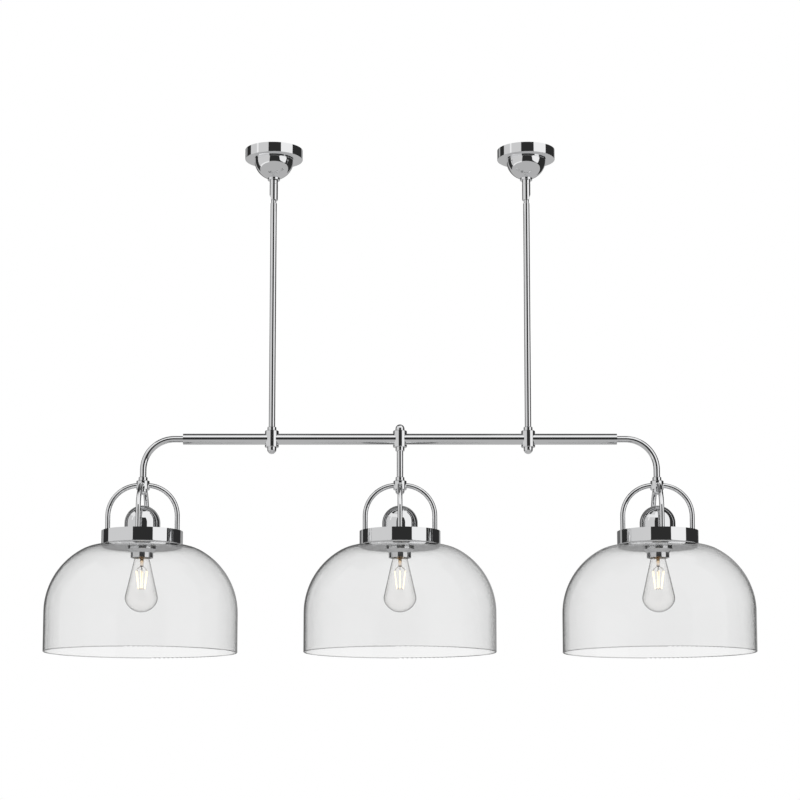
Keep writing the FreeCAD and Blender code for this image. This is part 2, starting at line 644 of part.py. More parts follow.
def socket_shell():
    """Brass screw shell inside the lampholder."""
    top_z = SOCKET_MOUTH_Z + SOCKET_MOUTH_DEPTH + SOCKET_SHELL_LENGTH
    return ring(SHELL_INNER_RADIUS, SHELL_INNER_RADIUS + SOCKET_SHELL_WALL,
                top_z - SOCKET_SHELL_LENGTH, top_z)


def socket_contact():
    return cylinder(CONTACT_RADIUS, SOCKET_FLOOR_Z - CONTACT_THICKNESS, SOCKET_FLOOR_Z)


def gasket():
    return ring(SOCKET_SLEEVE_RADIUS + PASS_CLEARANCE, GASKET_RADIUS, GLASS_TOP_Z, PAN_BOTTOM_Z)


def glass_shade():
    """Open bell of clear glass: flat top, crown arc, flank arc, straight wall, round rim."""
    angle = math.radians(GLASS_CROWN_ANGLE)
    turn_radius = GLASS_FLAT_RADIUS + GLASS_CROWN_RADIUS * math.sin(angle)
    flank_radius = (GLASS_RADIUS - turn_radius) / (1 - math.sin(angle))
    crown = (GLASS_FLAT_RADIUS, GLASS_TOP_Z - GLASS_CROWN_RADIUS)
    flank = (GLASS_RADIUS - flank_radius,
             crown[1] + (GLASS_CROWN_RADIUS - flank_radius) * math.cos(angle))
    hole = SOCKET_SLEEVE_RADIUS + GLASS_HOLE_CLEARANCE
    rim_round = GLASS_WALL / 2
    turn = 90 - GLASS_CROWN_ANGLE
    inner_crown = GLASS_CROWN_RADIUS - GLASS_WALL
    inner_flank = flank_radius - GLASS_WALL
    rim_centre = (GLASS_RADIUS - rim_round, GLASS_RIM_Z + rim_round)
    return turned([
        (hole, GLASS_TOP_Z),
        (GLASS_FLAT_RADIUS, GLASS_TOP_Z),
        (polar(crown, GLASS_CROWN_RADIUS, (90 + turn) / 2), polar(crown, GLASS_CROWN_RADIUS, turn)),
        (polar(flank, flank_radius, turn / 2), (GLASS_RADIUS, flank[1])),
        (GLASS_RADIUS, rim_centre[1]),
        (polar(rim_centre, rim_round, -90), (GLASS_RADIUS - GLASS_WALL, rim_centre[1])),
        (GLASS_RADIUS - GLASS_WALL, flank[1]),
        (polar(flank, inner_flank, turn / 2), polar(crown, inner_crown, turn)),
        (polar(crown, inner_crown, (90 + turn) / 2), (GLASS_FLAT_RADIUS, GLASS_TOP_Z - GLASS_WALL)),
        (hole, GLASS_TOP_Z - GLASS_WALL),
    ])


def retainer_cup():
    """Flared screw ring that clamps the glass under the pan and hides the socket."""
    bore = SOCKET_SLEEVE_RADIUS + PASS_CLEARANCE
    lip_z = RETAINER_TOP_Z - RETAINER_FLANGE_HEIGHT
    taper_z = lip_z - RETAINER_TAPER_HEIGHT
    bottom_z = RETAINER_TOP_Z - RETAINER_HEIGHT
    flare = ((RETAINER_SKIRT_RADIUS + RETAINER_FLANGE_RADIUS) / 2 - RETAINER_FLARE_HOLLOW,
             (lip_z + taper_z) / 2)
    return turned([
        (bore, bottom_z),
        (RETAINER_SKIRT_RADIUS, bottom_z),
        (RETAINER_SKIRT_RADIUS, taper_z),
        (flare, (RETAINER_FLANGE_RADIUS, lip_z)),
        (RETAINER_FLANGE_RADIUS, RETAINER_TOP_Z),
        (bore, RETAINER_TOP_Z),
    ])


# ---------------------------------------------------------------- bulb
def bulb_glass():
    """Pear-shaped envelope: neck, straight taper, rounded side and a rounder end."""
    side = (BULB_RADIUS - BULB_SIDE_ROUND, BULB_TIP_Z + BULB_WIDEST)
    rise = BULB_WIDEST
    end_radius = ((rise ** 2 + side[0] ** 2 - BULB_SIDE_ROUND ** 2) / (2 * (rise - BULB_SIDE_ROUND)))
    end = (0.0, BULB_TIP_Z + end_radius)
    meet = -math.degrees(math.atan2(end[1] - side[1], side[0]))
    neck_z = BULB_TOP_Z - BULB_BASE_LENGTH
    neck_radius = BULB_BASE_RADIUS - BULB_BASE_WALL - PASS_CLEARANCE
    taper_top = polar(side, BULB_SIDE_ROUND, BULB_TAPER)
    shoulder_z = neck_z - BULB_WALL
    slope = math.tan(math.radians(BULB_TAPER))
    shoulder_radius = taper_top[0] - slope * (shoulder_z - taper_top[1])
    inner_side = BULB_SIDE_ROUND - BULB_WALL
    inner_taper = polar(side, inner_side, BULB_TAPER)
    inner_neck = neck_radius - BULB_WALL
    inner_shoulder_z = inner_taper[1] + (inner_taper[0] - inner_neck) / slope
    return turned([
        (neck_radius, neck_z + BULB_NECK_OVERLAP),
        (neck_radius, neck_z - PASS_CLEARANCE),
        (shoulder_radius, shoulder_z),
        taper_top,
        (polar(side, BULB_SIDE_ROUND, (BULB_TAPER + meet) / 2), polar(side, BULB_SIDE_ROUND, meet)),
        (polar(end, end_radius, (meet - 90) / 2), (0, BULB_TIP_Z)),
        (0, BULB_TIP_Z + BULB_WALL),
        (polar(end, end_radius - BULB_WALL, (meet - 90) / 2), polar(side, inner_side, meet)),
        (polar(side, inner_side, (BULB_TAPER + meet) / 2), inner_taper),
        (inner_neck, inner_shoulder_z),
        (inner_neck, neck_z + BULB_NECK_OVERLAP),
    ])


def bulb_base():
    """Screw base: contact button, insulating cone and thin shell."""
    cone_z = BULB_TOP_Z - BULB_BUTTON_HEIGHT
    shell_top_z = cone_z - BULB_CONE_HEIGHT
    bottom_z = BULB_TOP_Z - BULB_BASE_LENGTH
    inner_radius = BULB_BASE_RADIUS - BULB_BASE_WALL
    return turned([
        (0, BULB_TOP_Z),
        (BULB_BUTTON_RADIUS, BULB_TOP_Z),
        (BULB_BUTTON_RADIUS, cone_z),
        (BULB_BASE_RADIUS, shell_top_z),
        (BULB_BASE_RADIUS, bottom_z),
        (inner_radius, bottom_z),
        (inner_radius, shell_top_z - BULB_BASE_WALL),
        (0, shell_top_z - BULB_BASE_WALL),
    ])


def bulb_filaments():
    """Glass stem with a ring of leaning filament sticks on a wire support."""
    neck_z = BULB_TOP_Z - BULB_BASE_LENGTH
    stem_z = BULB_TOP_Z - STEM_DROP
    flare_radius = BULB_BASE_RADIUS - BULB_BASE_WALL - BULB_WALL - 2 * PASS_CLEARANCE
    stem = turned([
        (0, stem_z),
        (STEM_RADIUS, stem_z),
        (STEM_RADIUS, neck_z - STEM_FLARE_HEIGHT),
        (flare_radius, neck_z),
        (flare_radius, neck_z + BULB_WALL),
        (0, neck_z + BULB_WALL),
    ])
    top_z = BULB_TOP_Z - FILAMENT_TOP_DROP
    bottom_z = top_z - FILAMENT_HEIGHT
    mast = cylinder(SUPPORT_WIRE_RADIUS, bottom_z - FILAMENT_RADIUS, stem_z)
    support = [mast]
    sticks = []
    for step in range(FILAMENT_COUNT):
        turn = 360 / FILAMENT_COUNT * (step + 0.5)
        high = FreeCAD.Vector(FILAMENT_TOP_RADIUS, 0, top_z)
        low = FreeCAD.Vector(FILAMENT_BOTTOM_RADIUS, 0, bottom_z)
        lean = high - low
        stick = Part.makeCylinder(FILAMENT_RADIUS, lean.Length, low, lean)
        sticks.append(turned_about_z(stick, turn))
        for end in (high, low):
            hook = Part.makeCylinder(SUPPORT_WIRE_RADIUS, end.x, FreeCAD.Vector(0, 0, end.z), ALONG_X)
            support.append(turned_about_z(hook, turn))
    return stem.multiFuse(support + sticks)


# ---------------------------------------------------------------- assembly
def on_every_lamp(shapes):
    """The same pieces at all three lamps, as separate solids."""
    return Part.makeCompound([moved(shape, x) for x in LAMPS.values() for shape in shapes])


def build():
    parts = {}
    for name, side in SIDES.items():
        x = side * ROD_SPACING / 2
        parts["canopy_pan_" + name] = moved(canopy_pan(), x)
        parts["canopy_dome_" + name] = moved(canopy_dome(), x)
        parts["mounting_bar_" + name] = moved(mounting_bar(), x)
        parts["canopy_nipple_" + name] = moved(canopy_nipple(), x)
        parts["collar_ring_" + name] = moved(collar_ring(), x)
        parts["sleeve_cap_" + name] = moved(sleeve_cap(), x)
        parts["swivel_sleeve_" + name] = moved(swivel_sleeve(side), x)
        parts["swivel_knuckle_" + name] = moved(swivel_knuckle(), x)
        parts["rod_upper_" + name] = moved(rod(ROD_JOINT_Z, ROD_TOP_Z), x)
        parts["rod_lower_" + name] = moved(rod(ROD_BOTTOM_Z, ROD_JOINT_Z), x)
        parts["cross_fitting_" + name] = moved(cross_fitting(False), x)
        parts["end_arm_" + name] = end_arm(side)

    parts["cross_fitting_center"] = cross_fitting(True)
    parts["drop_tube"] = rod(HUB_SEAT_Z, DROP_TUBE_TOP_Z)
    parts["main_bar"] = main_bar()
    parts["bar_end_bushings"] = Part.makeCompound([bar_end_bushing(s) for s in SIDES.values()])

    top_finial = finial_cap()
    top_finial.rotate(ORIGIN, ALONG_X, 180)
    caps = [moved(finial_cap(), side * ROD_SPACING / 2, FITTING_BOTTOM_Z)
            for side in SIDES.values()]
    caps.append(moved(top_finial, 0, FITTING_TOP_Z))
    caps += [moved(hub_cap(), x, HUB_BOTTOM_Z) for x in LAMPS.values()]
    parts["finial_caps"] = Part.makeCompound(caps)

    nipples = [moved(thread_nipple(z), side * ROD_SPACING / 2)
               for side in SIDES.values() for z in (ROD_JOINT_Z, ROD_BOTTOM_Z)]
    nipples.append(thread_nipple(DROP_TUBE_TOP_Z))
    nipples += [moved(thread_nipple(HUB_SEAT_Z), x) for x in LAMPS.values()]
    nipples += [moved(thread_nipple(PAN_TOP_Z), x) for x in LAMPS.values()]
    parts["thread_nipples"] = Part.makeCompound(nipples)

    for name, x in LAMPS.items():
        parts["yoke_arms_" + name] = moved(yoke_arms(), x)
        parts["fitter_pan_" + name] = moved(fitter_pan(), x)
        parts["socket_dome_" + name] = moved(socket_dome(), x)
        parts["glass_shade_" + name] = moved(glass_shade(), x)
        parts["bulb_glass_" + name] = moved(bulb_glass(), x)
        parts["bulb_base_" + name] = moved(bulb_base(), x)
        parts["bulb_filaments_" + name] = moved(bulb_filaments(), x)

    parts["lamp_hubs"] = on_every_lamp([lamp_hub()])
    parts["fitter_plates"] = on_every_lamp([fitter_plate()])
    parts["lock_nuts"] = on_every_lamp(lamp_nuts())
    parts["socket_insulators"] = on_every_lamp([socket_insulator()])
    parts["socket_shells"] = on_every_lamp([socket_shell()])
    parts["socket_contacts"] = on_every_lamp([socket_contact()])
    parts["shade_gaskets"] = on_every_lamp([gasket()])
    parts["retainer_cups"] = on_every_lamp([retainer_cup()])
    return parts


os.makedirs("parts", exist_ok=True)
for node, shape in build().items():
    shape.exportStep("parts/" + node + ".step")
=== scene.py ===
"""Looks of a linear island pendant: chrome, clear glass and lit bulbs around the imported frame."""
import json
import math

import bmesh
import bpy
from mathutils import Matrix, Vector


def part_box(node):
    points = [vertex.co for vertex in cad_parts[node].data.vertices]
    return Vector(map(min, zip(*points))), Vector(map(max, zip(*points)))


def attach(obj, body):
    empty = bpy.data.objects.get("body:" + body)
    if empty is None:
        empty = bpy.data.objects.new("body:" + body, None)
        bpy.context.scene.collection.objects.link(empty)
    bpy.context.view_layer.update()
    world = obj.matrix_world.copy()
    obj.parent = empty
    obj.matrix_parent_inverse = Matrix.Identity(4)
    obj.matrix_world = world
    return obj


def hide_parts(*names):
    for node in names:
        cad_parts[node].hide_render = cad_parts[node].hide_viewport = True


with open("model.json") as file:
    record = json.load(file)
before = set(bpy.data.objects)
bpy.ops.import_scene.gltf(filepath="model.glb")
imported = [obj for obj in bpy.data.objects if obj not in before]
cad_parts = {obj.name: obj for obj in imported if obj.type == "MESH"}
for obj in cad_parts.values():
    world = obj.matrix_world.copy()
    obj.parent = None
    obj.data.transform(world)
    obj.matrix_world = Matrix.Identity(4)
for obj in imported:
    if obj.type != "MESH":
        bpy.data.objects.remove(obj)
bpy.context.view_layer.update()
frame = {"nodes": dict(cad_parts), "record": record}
SCENE = bpy.context.scene
LAMPS = ("left", "center", "right")
MM = 0.001

# ---------------------------------------------------------------- camera
CAMERA_PLACE = (0.0, -3.965, -1.2592)
CAMERA_TILT = 6.964
CAMERA_LENS = 91.18
CAMERA_SHIFT = 0.1648
SENSOR_WIDTH = 36.0
VIEW_REACH = (0.01, 200.0)


def make_camera():
    data = bpy.data.cameras.new("camera")
    data.sensor_width = SENSOR_WIDTH
    data.lens = CAMERA_LENS
    data.shift_y = CAMERA_SHIFT
    data.clip_start, data.clip_end = VIEW_REACH
    camera = bpy.data.objects.new("camera", data)
    camera.location = CAMERA_PLACE
    camera.rotation_euler = (math.radians(90 + CAMERA_TILT), 0, 0)
    SCENE.collection.objects.link(camera)
    SCENE.camera = camera


# ---------------------------------------------------------------- studio
FLOOR_Z = -2.1
FLOOR_RADIUS = 28.0
STUDIO_CENTRE = (0.0, 0.0, -0.6)
STUDIO_RADIUS = 8.0
BLACK = 0.028
DARK = 0.08
FLOOR_GREY = 0.46
LIGHT_GREY = 0.64
WHITE = 0.915
CARD_STEP = 0.02
CARD_FACET = 6
FLOOR_TONES = ((0.86, 0.86, 0.86), (0.9, 0.9, 0.9))
FLOOR_GRAIN = 3.0
FLOOR_ROUGHNESS = 0.9
FLOOR_SIDES = 96
KEY_PLACE = (2.5, -3.0, 1.2)
KEY_SIZE = 2.0
KEY_POWER = 60
GLASS_BOUNCES = 24
MIRROR_BOUNCES = 8
ALL_BOUNCES = 32
# name, tone in the polished metal, then the lower and the upper edge, each as the azimuth from and to
# (0 is the camera's side, positive to the right) and the elevation. Later cards stand in front.
CARDS = (
    ("card_ground", FLOOR_GREY, (-180, 180, -90), (-180, 180, -3)),
    ("card_ceiling", DARK, (-180, 180, 28), (-180, 180, 90)),
    ("card_back_left", 0.14, (-180, -132, -3), (-180, -132, 57)),
    ("card_back_right", 0.33, (149, 180, -3), (149, 180, 25)),
    ("card_back_right_top", 0.22, (149, 180, 25), (149, 180, 51)),
    ("card_left_strip", 0.42, (-143, -132, -3), (-143, -132, 25)),
    ("card_left_flag", BLACK, (-132, -90, -17), (-132, -90, 57)),
    ("card_left_dark", BLACK, (-110, -60, 50), (-110, -60, 77)),
    ("card_right_flag", BLACK, (70, 149, -16), (70, 149, 57)),
    ("card_front", BLACK, (-40, 60, -17), (-40, 60, 33)),
    ("card_left_foot", 0.9, (-98, -28, -21.5), (-98, -28, -15)),
    ("card_left", LIGHT_GREY, (-102.5, -26, -15.5), (-102.5, -19, 33)),
    ("card_left_band", 0.85, (-102.5, -24, 33), (-102.5, -24, 52)),
    ("card_left_top", 0.66, (-66, -24, 52), (-66, -24, 77)),
    ("card_left_line", 0.9, (-70, -62.5, 14), (-70, -62.5, 33)),
    ("card_front_top", WHITE, (-24, 30, 31), (-24, 30, 77)),
    ("card_right_foot", WHITE, (49, 76, -13), (37, 77.5, -7)),
    ("card_right", WHITE, (37, 77.5, -7), (27, 84, 31)),
    ("card_right_high", WHITE, (27, 84, 31), (27, 84, 57)),
    ("card_right_top", WHITE, (27, 112, 57), (27, 112, 77)),
)


def new_object(name, bm, material):
    mesh = bpy.data.meshes.new(name)
    bm.to_mesh(mesh)
    bm.free()
    for face in mesh.polygons:
        face.use_smooth = True
    obj = bpy.data.objects.new(name, mesh)
    SCENE.collection.objects.link(obj)
    mesh.materials.append(material)
    return obj


def grid_faces(bm, rows, closed_rows=False):
    """Quads between neighbouring rows of vertices; a row may also close on itself."""
    for low, high in zip(rows, rows[1:]):
        count = len(low)
        for i in range(count if closed_rows else count - 1):
            j = (i + 1) % count
            bm.faces.new((low[i], low[j], high[j], high[i]))


def studio_point(azimuth, elevation, radius):
    a, e = math.radians(azimuth), math.radians(elevation)
    direction = Vector((math.sin(a) * math.cos(e), -math.cos(a) * math.cos(e), math.sin(e)))
    return Vector(STUDIO_CENTRE) + direction * radius


def after_a_reflection(nodes, links, without, with_one):
    """Mix two shaders: the second shows only to light paths that hold a mirror reflection."""
    path = nodes.new("ShaderNodeLightPath")
    count = nodes.new("ShaderNodeMath")
    count.operation = "GREATER_THAN"
    count.inputs[1].default_value = 0.5
    links.new(path.outputs["Glossy Depth"], count.inputs[0])
    mix = nodes.new("ShaderNodeMixShader")
    links.new(count.outputs[0], mix.inputs["Fac"])
    links.new(without, mix.inputs[1])
    links.new(with_one, mix.inputs[2])
    return mix.outputs[0]


def card_material(name, tone):
    """Glow that reflections see, also through glass; every other ray passes through."""
    material = bpy.data.materials.new(name)
    material.use_nodes = True
    nodes, links = material.node_tree.nodes, material.node_tree.links
    nodes.clear()
    light = nodes.new("ShaderNodeEmission")
    light.inputs["Color"].default_value = (tone, tone, tone, 1)
    clear = nodes.new("ShaderNodeBsdfTransparent")
    out = nodes.new("ShaderNodeOutputMaterial")
    links.new(after_a_reflection(nodes, links, clear.outputs[0], light.outputs[0]),
              out.inputs["Surface"])
    return material


def between(low, high, share):
    return low + (high - low) * share


def make_card(name, tone, lower, upper, radius):
    """A studio card, bent round the object, that shows only in reflections."""
    bm = bmesh.new()
    columns = max(2, round((lower[1] - lower[0]) / CARD_FACET))
    steps = max(2, round((upper[2] - lower[2]) / CARD_FACET))
    rows = []
    for k in range(steps + 1):
        left, right, elevation = (between(lower[n], upper[n], k / steps) for n in range(3))
        rows.append([bm.verts.new(studio_point(between(left, right, i / columns), elevation, radius))
                     for i in range(columns + 1)])
    grid_faces(bm, rows)
    card = new_object(name, bm, card_material(name, tone))
    card.visible_camera = False
    card.visible_diffuse = False
    card.visible_shadow = False


def make_studio():
    world = bpy.data.worlds.new("studio")
    SCENE.world = world
    world.use_nodes = True
    world.node_tree.nodes["Background"].inputs["Color"].default_value = (1, 1, 1, 1)
    world.node_tree.nodes["Background"].inputs["Strength"].default_value = 1.0

    floor_material = bpy.data.materials.new("floor")
    floor_material.use_nodes = True
    nodes, links = floor_material.node_tree.nodes, floor_material.node_tree.links
    shader = nodes["Principled BSDF"]
    grain = nodes.new("ShaderNodeTexNoise")
    grain.inputs["Scale"].default_value = FLOOR_GRAIN
    ramp = nodes.new("ShaderNodeValToRGB")
    for stop, tone in zip(ramp.color_ramp.elements, FLOOR_TONES):
        stop.color = (*tone, 1)
    links.new(grain.outputs["Fac"], ramp.inputs["Fac"])
    links.new(ramp.outputs["Color"], shader.inputs["Base Color"])
    shader.inputs["Roughness"].default_value = FLOOR_ROUGHNESS
    clear = nodes.new("ShaderNodeBsdfTransparent")
    links.new(after_a_reflection(nodes, links, shader.outputs[0], clear.outputs[0]),
              nodes["Material Output"].inputs["Surface"])
    bm = bmesh.new()
    bmesh.ops.create_circle(bm, cap_ends=True, segments=FLOOR_SIDES, radius=FLOOR_RADIUS,
                            matrix=Matrix.Translation((0, 0, FLOOR_Z)))
    floor = new_object("floor", bm, floor_material)

    for place, card in enumerate(CARDS):
        make_card(*card, STUDIO_RADIUS - CARD_STEP * place)

    key_data = bpy.data.lights.new("key", "AREA")
    key_data.energy = KEY_POWER
    key_data.size = KEY_SIZE
    key = bpy.data.objects.new("key", key_data)
    key.location = KEY_PLACE
    key.rotation_euler = (Vector(STUDIO_CENTRE) - key.location).to_track_quat("-Z", "Y").to_euler()
    key.visible_camera = False
    key.visible_glossy = False
    key.visible_transmission = False
    SCENE.collection.objects.link(key)

    SCENE.view_settings.view_transform = "Standard"
    SCENE.view_settings.look = "None"
    SCENE.cycles.transmission_bounces = GLASS_BOUNCES
    SCENE.cycles.transparent_max_bounces = GLASS_BOUNCES
    SCENE.cycles.glossy_bounces = MIRROR_BOUNCES
    SCENE.cycles.max_bounces = ALL_BOUNCES


# ---------------------------------------------------------------- materials
# The shade's and the bulb's walls each have two faces, so a low index keeps their look thin.
SHADE_IOR = 1.2
BULB_IOR = 1.3
STEM_IOR = 1.5
# heights from and to which the rim's painted shade and the stem's painted amber reflection fade, and
# the painted shade's tone at the rim
RIM_PAINTED_SHADE_SPAN = (-1013.1 * MM, -1010.8 * MM)
RIM_PAINTED_SHADE_TONE = 0.25
STEM_PAINTED_AMBER_SPAN = (-842 * MM, -826 * MM)
STEM_PALE = (0.93, 0.86, 0.8)
STEM_PAINTED_AMBER = (0.95, 0.62, 0.26)
CLEARER = 0.012
GRAIN_DEPTH = 0.2 * MM
EVEN_GRAIN = (60, 60, 60)
DRAWN_GRAIN = (30, 30, 200)
# name, dark and light tone, least and most roughness, grain and how far it shows as relief
METALS = (
    ("chrome", (0.89, 0.895, 0.905), (0.92, 0.922, 0.93), 0.004, 0.022, EVEN_GRAIN, 0.0),
    ("zinc_steel", (0.56, 0.57, 0.58), (0.68, 0.68, 0.69), 0.25, 0.4, DRAWN_GRAIN, 0.15),
    ("brass", (0.72, 0.5, 0.22), (0.82, 0.6, 0.3), 0.18, 0.3, EVEN_GRAIN, 0.1),
    ("nickel", (0.66, 0.64, 0.6), (0.78, 0.76, 0.71), 0.12, 0.24, EVEN_GRAIN, 0.1),
    ("solder", (0.5, 0.5, 0.5), (0.66, 0.66, 0.65), 0.3, 0.5, EVEN_GRAIN, 0.4),
)
# name, dark and light tone, fineness of the specks, their relief and its depth, other sockets
SPECKLED = (
    ("porcelain", (0.82, 0.8, 0.74), (0.9, 0.88, 0.83), 120, 0.08, 0.3 * MM,
     {"Roughness": 0.18, "Coat Weight": 0.5}),
    ("seal", (0.74, 0.74, 0.72), (0.84, 0.84, 0.82), 300, 0.2, 0.2 * MM,
     {"Roughness": 0.55, "Transmission Weight": 0.35}),
    ("black_glass", (0.012, 0.01, 0.014), (0.03, 0.026, 0.034), 200, 0.1, 0.2 * MM,
     {"Roughness": 0.12}),
)
# name, tint of one wall and index of refraction
GLASSES = (
    ("clear_glass", (0.907, 0.908, 0.908), SHADE_IOR),
    ("bulb_glass", (0.985, 0.982, 0.978), BULB_IOR),
)


def principled(name, sockets):
    material = bpy.data.materials.new(name)
    material.use_nodes = True
    shader = material.node_tree.nodes["Principled BSDF"]
    for socket, value in sockets.items():
        shader.inputs[socket].default_value = value
    return material, material.node_tree.nodes, material.node_tree.links, shader


def object_coordinates(nodes, links, scale=(1, 1, 1)):
    place = nodes.new("ShaderNodeTexCoord")
    mapping = nodes.new("ShaderNodeMapping")
    mapping.inputs["Scale"].default_value = scale
    links.new(place.outputs["Object"], mapping.inputs["Vector"])
    return mapping.outputs["Vector"]


def noise(nodes, links, vector, scale, detail=3.0):
    texture = nodes.new("ShaderNodeTexNoise")
    texture.inputs["Scale"].default_value = scale
    texture.inputs["Detail"].default_value = detail
    links.new(vector, texture.inputs["Vector"])
    return texture.outputs["Fac"]


def spread(nodes, links, source, low, high, start=0.3, end=0.7):
    """Map a texture's value from start..end to low..high."""
    mapper = nodes.new("ShaderNodeMapRange")
    mapper.inputs["From Min"].default_value = start
    mapper.inputs["From Max"].default_value = end
    mapper.inputs["To Min"].default_value = low
    mapper.inputs["To Max"].default_value = high
    links.new(source, mapper.inputs["Value"])
    return mapper.outputs["Result"]


def two_tone(nodes, links, source, dark, light, start=0.3, end=0.7):
    ramp = nodes.new("ShaderNodeValToRGB")
    ramp.color_ramp.elements[0].position = start
    ramp.color_ramp.elements[0].color = (*dark, 1)
    ramp.color_ramp.elements[1].position = end
    ramp.color_ramp.elements[1].color = (*light, 1)
    links.new(source, ramp.inputs["Fac"])
    return ramp.outputs["Color"]


def bump(nodes, links, source, shader, strength, distance):
    node = nodes.new("ShaderNodeBump")
    node.inputs["Strength"].default_value = strength
    node.inputs["Distance"].default_value = distance
    links.new(source, node.inputs["Height"])
    links.new(node.outputs["Normal"], shader.inputs["Normal"])


def height_fade(nodes, links, place, low, high, span):
    """low below a span of heights, high above it, and even steps between."""
    height = nodes.new("ShaderNodeSeparateXYZ")
    links.new(place, height.inputs["Vector"])
    return spread(nodes, links, height.outputs["Z"], low, high, *span)


def metal(name, dark, light, rough_low, rough_high, grain, relief):
    """Metal with cloudy polish: tone and gloss vary softly, and a fine grain lies over it."""
    material, nodes, links, shader = principled(name, {"Metallic": 1.0})
    clouds = noise(nodes, links, object_coordinates(nodes, links), 9.0)
    links.new(two_tone(nodes, links, clouds, dark, light), shader.inputs["Base Color"])
    fine = noise(nodes, links, object_coordinates(nodes, links, grain), 8.0, 6.0)
    links.new(spread(nodes, links, fine, rough_low, rough_high), shader.inputs["Roughness"])
    if relief:
        bump(nodes, links, fine, shader, relief, GRAIN_DEPTH)
    return material


def speckled(name, dark, light, scale, relief, depth, sockets):
    """A material whose tone and surface vary in fine specks."""
    material, nodes, links, shader = principled(name, sockets)
    fine = noise(nodes, links, object_coordinates(nodes, links), scale)
    links.new(two_tone(nodes, links, fine, dark, light), shader.inputs["Base Color"])
    bump(nodes, links, fine, shader, relief, depth)
    return material


def glass(name, tint, ior):
    """Blown glass: faint waves in its tint and surface, and painted shade that darkens its colour at
    the shade's rim.
    """
    material, nodes, links, shader = principled(name, {"Transmission Weight": 1.0, "IOR": ior})
    place = object_coordinates(nodes, links)
    waves = noise(nodes, links, place, 6.0, 1.0)
    clearer = [value + CLEARER for value in tint]
    # painted shade: the glass colour darkens towards the bottom of the shade's rim, standing in for its
    # dark rim lines
    rim_painted_shade = height_fade(nodes, links, place, RIM_PAINTED_SHADE_TONE, 1.0, RIM_PAINTED_SHADE_SPAN)
    shade = nodes.new("ShaderNodeVectorMath")
    shade.operation = "SCALE"
    links.new(two_tone(nodes, links, waves, tint, clearer), shade.inputs[0])
    links.new(rim_painted_shade, shade.inputs["Scale"])
    links.new(shade.outputs["Vector"], shader.inputs["Base Color"])
    fine = noise(nodes, links, place, 40.0)
    links.new(spread(nodes, links, fine, 0.0, 0.012), shader.inputs["Roughness"])
    bump(nodes, links, waves, shader, 0.03, 2 * MM)
    return material


def stem_glass():
    """The bulb's stem, with a painted amber reflection of warm light at its top."""
    material, nodes, links, shader = principled("stem_glass",
                                                {"Transmission Weight": 1.0, "IOR": STEM_IOR})
    place = object_coordinates(nodes, links)
    # painted reflection: the stem's colour warms to amber towards its top
    upward = height_fade(nodes, links, place, 0.0, 1.0, STEM_PAINTED_AMBER_SPAN)
    links.new(two_tone(nodes, links, upward, STEM_PALE, STEM_PAINTED_AMBER, 0.0, 1.0),
              shader.inputs["Base Color"])
    clouds = noise(nodes, links, place, 60.0)
    links.new(spread(nodes, links, clouds, 0.0, 0.08), shader.inputs["Roughness"])
    return material


def lit_filament():
    material, nodes, links, shader = principled("filament",
                                                {"Roughness": 0.5, "Emission Strength": 1.1})
    fine = noise(nodes, links, object_coordinates(nodes, links), 400.0)
    glow = two_tone(nodes, links, fine, (1.0, 0.84, 0.58), (1.0, 0.93, 0.78))
    links.new(glow, shader.inputs["Base Color"])
    links.new(glow, shader.inputs["Emission Color"])
    return material


def make_materials():
    made = {row[0]: metal(*row) for row in METALS}
    made.update({row[0]: speckled(*row) for row in SPECKLED})
    made.update({row[0]: glass(*row) for row in GLASSES})
    made.update({"stem_glass": stem_glass(), "filament": lit_filament()})
    return made


def dress_nodes(materials):
    slots = {row["node"]: row["material_slot"] for row in frame["record"]["subparts"]}
    for node, obj in frame["nodes"].items():
        if not obj.material_slots:
            obj.data.materials.append(None)
        for slot in obj.material_slots:
            slot.material = materials[slots[node]]


# ---------------------------------------------------------------- turned and threaded forms
AROUND = 64
AXIS_RADIUS = 1e-5
ROWS_PER_TURN = 10


def ring_of(bm, centre, z, radius, count=AROUND):
    """A ring of vertices about a vertical axis; radius may depend on the angle as a share of a turn."""
    made = []
    for i in range(count):
        angle = 2 * math.pi * i / count
        r = radius(i / count) if callable(radius) else radius
        made.append(bm.verts.new((centre[0] + r * math.cos(angle), centre[1] + r * math.sin(angle), z)))
    return made


def turned_rows(bm, centre, stations, count=AROUND):
    """Rings for a turned outline given as (radius, z), closed at a radius of zero."""
    rows = []
    for radius, z in stations:
        rows.append(ring_of(bm, centre, z, max(radius, AXIS_RADIUS), count))
    grid_faces(bm, rows, closed_rows=True)
    return rows


def thread_rows(bm, centre, z_low, z_high, crest, depth, pitch):
    """Rings of a rolled screw thread from z_low to z_high that runs out into its root at both ends."""
    steps = round((z_high - z_low) / pitch * ROWS_PER_TURN)
    rows = []
    for k in range(steps + 1):
        z = z_low + (z_high - z_low) * k / steps
        fade = min(1.0, (z - z_low) / pitch * 2, (z_high - z) / pitch * 2)

        def radius(turn, z=z, fade=fade):
            height = 0.5 - 0.5 * math.cos(2 * math.pi * (z / pitch - turn))
            return crest - depth + depth * height * fade
        rows.append(ring_of(bm, centre, z, radius))
    grid_faces(bm, rows, closed_rows=True)
    return rows


def join_rows(bm, low, high):
    grid_faces(bm, [low, high], closed_rows=True)


def tube_between(bm, start, end, radius, count=12):
    """A round rod between two points with rounded-off ends."""
    axis = (end - start).normalized()
    side = axis.orthogonal().normalized()
    other = axis.cross(side)
    rings = []
    for point, r in ((start, radius * 0.3), (start + axis * radius * 0.5, radius),
                     (end - axis * radius * 0.5, radius), (end, radius * 0.3)):
        rings.append([bm.verts.new(point + (side * math.cos(t) + other * math.sin(t)) * r)
                      for t in (2 * math.pi * i / count for i in range(count))])
    grid_faces(bm, rings, closed_rows=True)
    bm.faces.new(rings[0][::-1])
    bm.faces.new(rings[-1])


